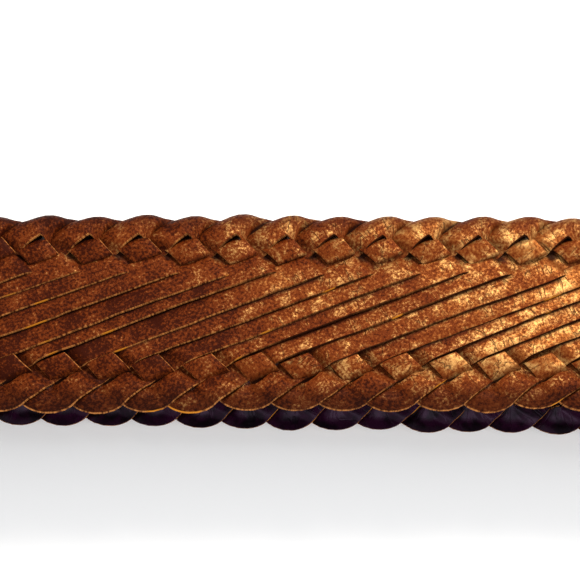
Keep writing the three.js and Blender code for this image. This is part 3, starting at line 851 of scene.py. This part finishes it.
class Paint:
    """A material under construction: adds nodes, links them and hands back their outputs."""

    def __init__(self, name):
        self.material = bpy.data.materials.new(name)
        self.material.use_nodes = True
        self.tree = self.material.node_tree
        self.shader = self.tree.nodes["Principled BSDF"]

    def set(self, node, inputs):
        for name, value in inputs.items():
            if isinstance(value, bpy.types.NodeSocket):
                self.tree.links.new(value, node.inputs[name])
            elif node.inputs[name].type == "RGBA":
                node.inputs[name].default_value = (*value, 1)
            else:
                node.inputs[name].default_value = value

    def add(self, kind, inputs, **settings):
        node = self.tree.nodes.new(kind)
        for name, value in settings.items():
            setattr(node, name, value)
        self.set(node, inputs)
        return node

    def attribute(self, name, output):
        return self.add("ShaderNodeAttribute", {}, attribute_name=name).outputs[output]

    def stretched(self, vector, scale):
        return self.add("ShaderNodeMapping", {"Vector": vector, "Scale": scale}).outputs["Vector"]

    def noise(self, vector, scale, detail=2.0, roughness=0.5, distortion=0.0):
        inputs = {
            "Vector": vector,
            "Scale": scale,
            "Detail": detail,
            "Roughness": roughness,
            "Distortion": distortion,
        }
        return self.add("ShaderNodeTexNoise", inputs).outputs["Fac"]

    def wear_and_edge_shade(self):
        """How worn the belt is: wear comes and goes in long stretches. Along the edge on the −Y side the foil
        is thinned further, a painted shade for the lobes there, which face away from the light.
        """
        place = self.add("ShaderNodeTexCoord", {}).outputs["Object"]
        along, across, _ = self.add("ShaderNodeSeparateXYZ", {"Vector": place}).outputs
        swell = self.math("SINE", self.math("MULTIPLY", along, -2 * math.pi / WEAR_LENGTH))
        worn = self.math("ADD", swell, self.range(self.noise(place, 25, 2.0), 0.3, 0.7, -0.5, 0.5))
        # The raised wear at the −Y edge is a painted shade, not rubbing.
        return self.math("MAXIMUM", worn, self.range(across, -0.024, -0.010, 0.45, -2.0))

    def range(self, value, low, high, from_value=0.0, to_value=1.0):
        inputs = {"Value": value, "From Min": low, "From Max": high}
        inputs.update({"To Min": from_value, "To Max": to_value})
        return self.add("ShaderNodeMapRange", inputs, interpolation_type="SMOOTHSTEP").outputs["Result"]

    def math(self, operation, first, second=0.0):
        node = self.tree.nodes.new("ShaderNodeMath")
        node.operation = operation
        for socket, value in zip(node.inputs, (first, second)):
            if isinstance(value, bpy.types.NodeSocket):
                self.tree.links.new(value, socket)
            else:
                socket.default_value = value
        return node.outputs["Value"]

    def mix(self, factor, first, second):
        node = self.tree.nodes.new("ShaderNodeMix")
        node.data_type = "RGBA"
        sockets = [socket for socket in node.inputs if socket.enabled]
        for socket, value in zip(sockets, (factor, first, second)):
            if isinstance(value, bpy.types.NodeSocket):
                self.tree.links.new(value, socket)
            elif socket.type == "RGBA":
                socket.default_value = (*value, 1)
            else:
                socket.default_value = value
        return next(socket for socket in node.outputs if socket.enabled)

    def bump(self, height, distance):
        inputs = {"Height": height, "Distance": distance, "Strength": 1.0}
        return self.add("ShaderNodeBump", inputs).outputs["Normal"]

    def finish(self, inputs):
        self.set(self.shader, inputs)
        return self.material


def plain_material(name, colour, roughness):
    return Paint(name).finish({"Base Color": colour, "Roughness": roughness})


def strip_face():
    """Bronzed brown leather: a worn foil on the finished side, and raw cut edges. Shade is painted into the
    colour in places.
    """
    paint = Paint("bronze_leather")
    place = paint.attribute("strip_place", "Vector")
    face = paint.range(paint.attribute("strip_side", "Fac"), 0.35, 0.75)
    nap = paint.noise(place, 1350, 4.0, 0.7)
    patches = paint.noise(place, 260, 3.0, 0.6)
    zones = paint.noise(place, 45, 2.0)
    # worn holds the real wear and, along the −Y edge, a painted shade.
    worn = paint.wear_and_edge_shade()
    creases = paint.noise(paint.stretched(place, (1, 0.3, 1)), 260, 2.0, 0.5, 0.8)
    crease = paint.range(paint.math("ABSOLUTE", paint.math("SUBTRACT", creases, 0.5)), 0.0, 0.018, 1.0, 0.0)
    crease = paint.math("MULTIPLY", crease, paint.range(patches, 0.44, 0.58))
    crease = paint.math("MULTIPLY", crease, paint.range(worn, -0.6, 0.9, 1.0, 0.15))
    foil = paint.math("ADD", paint.math("MULTIPLY", nap, 0.75), paint.math("MULTIPLY", patches, 0.35))
    foil = paint.math("ADD", foil, paint.math("MULTIPLY", zones, 0.3))
    foil = paint.math("SUBTRACT", foil, paint.math("MULTIPLY", worn, 0.083))
    bare = paint.range(foil, 0.55, 0.71, 1.0, 0.0)
    foil = paint.range(foil, 0.69, 0.93)
    suede = paint.mix(bare, (0.110, 0.020, 0.003), (0.026, 0.0036, 0.0009))
    gilt = paint.mix(paint.range(patches, 0.42, 0.66), (0.29, 0.098, 0.022), (0.52, 0.27, 0.085))
    face_colour = paint.mix(foil, suede, gilt)
    face_colour = paint.mix(paint.math("MULTIPLY", crease, 0.65), face_colour, (0.020, 0.005, 0.003))
    # Painted shade: where the painted-shade attribute is high, the face is darkened towards near black.
    painted_shade = paint.attribute("strip_painted_shade", "Fac")
    face_colour = paint.mix(paint.math("MULTIPLY", painted_shade, 0.93), face_colour, (0.006, 0.0015, 0.001))
    # Where the foil is unworn, the cut edges are painted near black: a painted shade for edges that lie in
    # shadow. Where the foil is worn, they show tan.
    bared_not_shaded = paint.range(paint.math("ADD", worn, paint.math("MULTIPLY", zones, 1.5)), 0.2, 1.4)
    raw = paint.mix(paint.range(nap, 0.35, 0.65), (0.050, 0.010, 0.003), (0.42, 0.16, 0.04))
    raw = paint.mix(bared_not_shaded, (0.025, 0.006, 0.002), raw)
    raw = paint.mix(paint.range(paint.noise(place, 110, 1.0), 0.67, 0.72), raw, (0.50, 0.18, 0.015))
    shine = paint.math("MULTIPLY", foil, face)
    # The painted shade also takes the shine off the foil.
    shine = paint.math("MULTIPLY", shine, paint.range(painted_shade, 0.0, 0.8, 1.0, 0.0))
    roughness = paint.range(nap, 0.3, 0.7, 0.9, 0.66)
    roughness = paint.math("SUBTRACT", roughness, paint.math("MULTIPLY", face, 0.24))
    relief = paint.math("ADD", paint.math("MULTIPLY", nap, 0.5), paint.math("MULTIPLY", patches, 0.6))
    relief = paint.math("SUBTRACT", relief, paint.math("MULTIPLY", crease, 0.6))
    return paint.finish(
        {
            "Base Color": paint.mix(face, raw, face_colour),
            "Metallic": paint.math("MULTIPLY", shine, 0.8),
            "Roughness": roughness,
            "Specular IOR Level": 0.03,
            "Normal": paint.bump(relief, 0.0003),
        }
    )


def strip_back():
    """The back of the strips: nearly black, purplish and glossy, with shallow creases."""
    paint = Paint("dark_glossy_leather")
    place = paint.attribute("strip_place", "Vector")
    fine = paint.noise(place, 1400, 3.0, 0.6)
    patches = paint.noise(place, 220, 3.0, 0.6)
    creases = paint.noise(paint.stretched(place, (1, 0.25, 1)), 240, 2.0, 0.5, 0.5)
    crease = paint.range(paint.math("ABSOLUTE", paint.math("SUBTRACT", creases, 0.5)), 0.0, 0.03, 1.0, 0.0)
    relief = paint.math("SUBTRACT", paint.math("MULTIPLY", fine, 0.35), paint.math("MULTIPLY", crease, 0.5))
    colour = paint.mix(paint.range(patches, 0.35, 0.65), (0.0015, 0.0003, 0.001), (0.018, 0.003, 0.013))
    return paint.finish(
        {
            "Base Color": colour,
            "Roughness": paint.range(patches, 0.3, 0.7, 0.38, 0.22),
            "Specular IOR Level": 0.13,
            "Specular Tint": (0.95, 0.72, 1.0),
            "Normal": paint.bump(relief, 0.00012),
        }
    )


def tab_leather():
    """Smooth dark brown leather with a fine grain, satin, with darker burnished edges."""
    paint = Paint("brown_leather")
    place = paint.add("ShaderNodeTexCoord", {}).outputs["Object"]
    edge = paint.attribute("cut_edge", "Fac")
    grain = paint.add("ShaderNodeTexVoronoi", {"Vector": place, "Scale": 1300.0}).outputs["Distance"]
    clouds = paint.noise(place, 90, 4.0, 0.6)
    fine = paint.noise(place, 900, 3.0, 0.6)
    colour = paint.mix(paint.range(clouds, 0.3, 0.7), (0.040, 0.012, 0.005), (0.095, 0.032, 0.013))
    colour = paint.mix(paint.math("MULTIPLY", edge, 0.75), colour, (0.014, 0.005, 0.003))
    relief = paint.math("ADD", paint.math("MULTIPLY", grain, 0.7), paint.math("MULTIPLY", fine, 0.5))
    return paint.finish(
        {
            "Base Color": colour,
            "Roughness": paint.range(fine, 0.3, 0.7, 0.58, 0.44),
            "Specular IOR Level": 0.2,
            "Normal": paint.bump(relief, 0.00012),
        }
    )


def buckle_metal():
    """Aged satin brass: browner where it has tarnished, brighter where it has worn."""
    paint = Paint("aged_brass")
    place = paint.add("ShaderNodeTexCoord", {}).outputs["Object"]
    tarnish = paint.noise(place, 160, 4.0, 0.65)
    fine = paint.noise(place, 1500, 2.0, 0.6)
    scratches = paint.noise(paint.stretched(place, (1, 0.06, 1)), 1400, 2.0, 0.6)
    colour = paint.mix(paint.range(tarnish, 0.38, 0.62), (0.16, 0.085, 0.035), (0.62, 0.42, 0.19))
    relief = paint.math("ADD", paint.math("MULTIPLY", scratches, 0.6), paint.math("MULTIPLY", fine, 0.4))
    return paint.finish(
        {
            "Base Color": colour,
            "Metallic": 1.0,
            "Roughness": paint.range(tarnish, 0.35, 0.65, 0.5, 0.27),
            "Normal": paint.bump(relief, 0.00005),
        }
    )


def waxed_thread():
    """Waxed brown thread, with the twist of its strands."""
    paint = Paint("waxed_thread")
    place = paint.add("ShaderNodeTexCoord", {}).outputs["Object"]
    twist = paint.noise(place, 3000, 1.0)
    colour = paint.mix(paint.range(twist, 0.3, 0.7), (0.11, 0.05, 0.022), (0.24, 0.12, 0.055))
    return paint.finish({"Base Color": colour, "Roughness": 0.6, "Normal": paint.bump(twist, 0.0001)})


def make_stage():
    """A plain pale floor, soft lights and a pale surrounding."""
    corners = [(-3000, -3000, 0), (3000, -3000, 0), (3000, 3000, 0), (-3000, 3000, 0)]
    floor = mesh_object("floor", corners, [(0, 1, 2, 3)])
    floor.data.materials.append(plain_material("floor", (0.96, 0.96, 0.96), 0.9))
    world = bpy.data.worlds.new("world")
    world.use_nodes = True
    world.node_tree.nodes["Background"].inputs["Color"].default_value = (1, 1, 1, 1)
    world.node_tree.nodes["Background"].inputs["Strength"].default_value = 0.85
    bpy.context.scene.world = world
    lights = [
        {"name": "key", "place": (0.26, 0.42, 0.56), "size": 0.24, "watts": 8, "colour": (1.0, 0.94, 0.86)},
        {"name": "fill", "place": (0.1, -0.6, 0.6), "size": 0.6, "watts": 2.5, "colour": (0.95, 0.97, 1.0)},
    ]
    for light in lights:
        lamp = bpy.data.lights.new(light["name"], "AREA")
        lamp.size = light["size"]
        lamp.energy = light["watts"]
        lamp.color = light["colour"]
        holder = bpy.data.objects.new(light["name"], lamp)
        holder.location = light["place"]
        holder.rotation_mode = "QUATERNION"
        holder.rotation_quaternion = (-Vector(light["place"])).to_track_quat("-Z", "Y")
        bpy.context.scene.collection.objects.link(holder)


view_from_photo()
make_stage()
bpy.context.scene.view_settings.view_transform = "Standard"

face = strip_face()
back = strip_back()
brown = tab_leather()
brass = buckle_metal()
thread = waxed_thread()
paths = [strip_path(number) for number in range(STRIPS)]
strips = [make_strip(number, paths) for number in range(STRIPS)]
parts = [
    {"node": "braided_band", "slot": "braid_leather", "pieces": strips},
    {"node": "tip_tab", "slot": "tab_leather", "pieces": make_tip_tab()},
    {"node": "buckle_tab", "slot": "tab_leather", "pieces": make_buckle_tab()},
    {"node": "buckle", "slot": "buckle_metal", "pieces": make_buckle()},
    {"node": "keeper", "slot": "tab_leather", "pieces": make_keeper()},
]
finishes = {"braid_leather": face, "tab_leather": brown, "buckle_metal": brass}
for part in parts:
    for piece in part["pieces"]:
        finish = thread if piece.name.endswith("stitches") else finishes[part["slot"]]
        piece.data.materials.append(finish)
        if part["slot"] == "braid_leather":
            piece.data.materials.append(back)
        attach(piece, "root")
        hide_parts(part["node"])
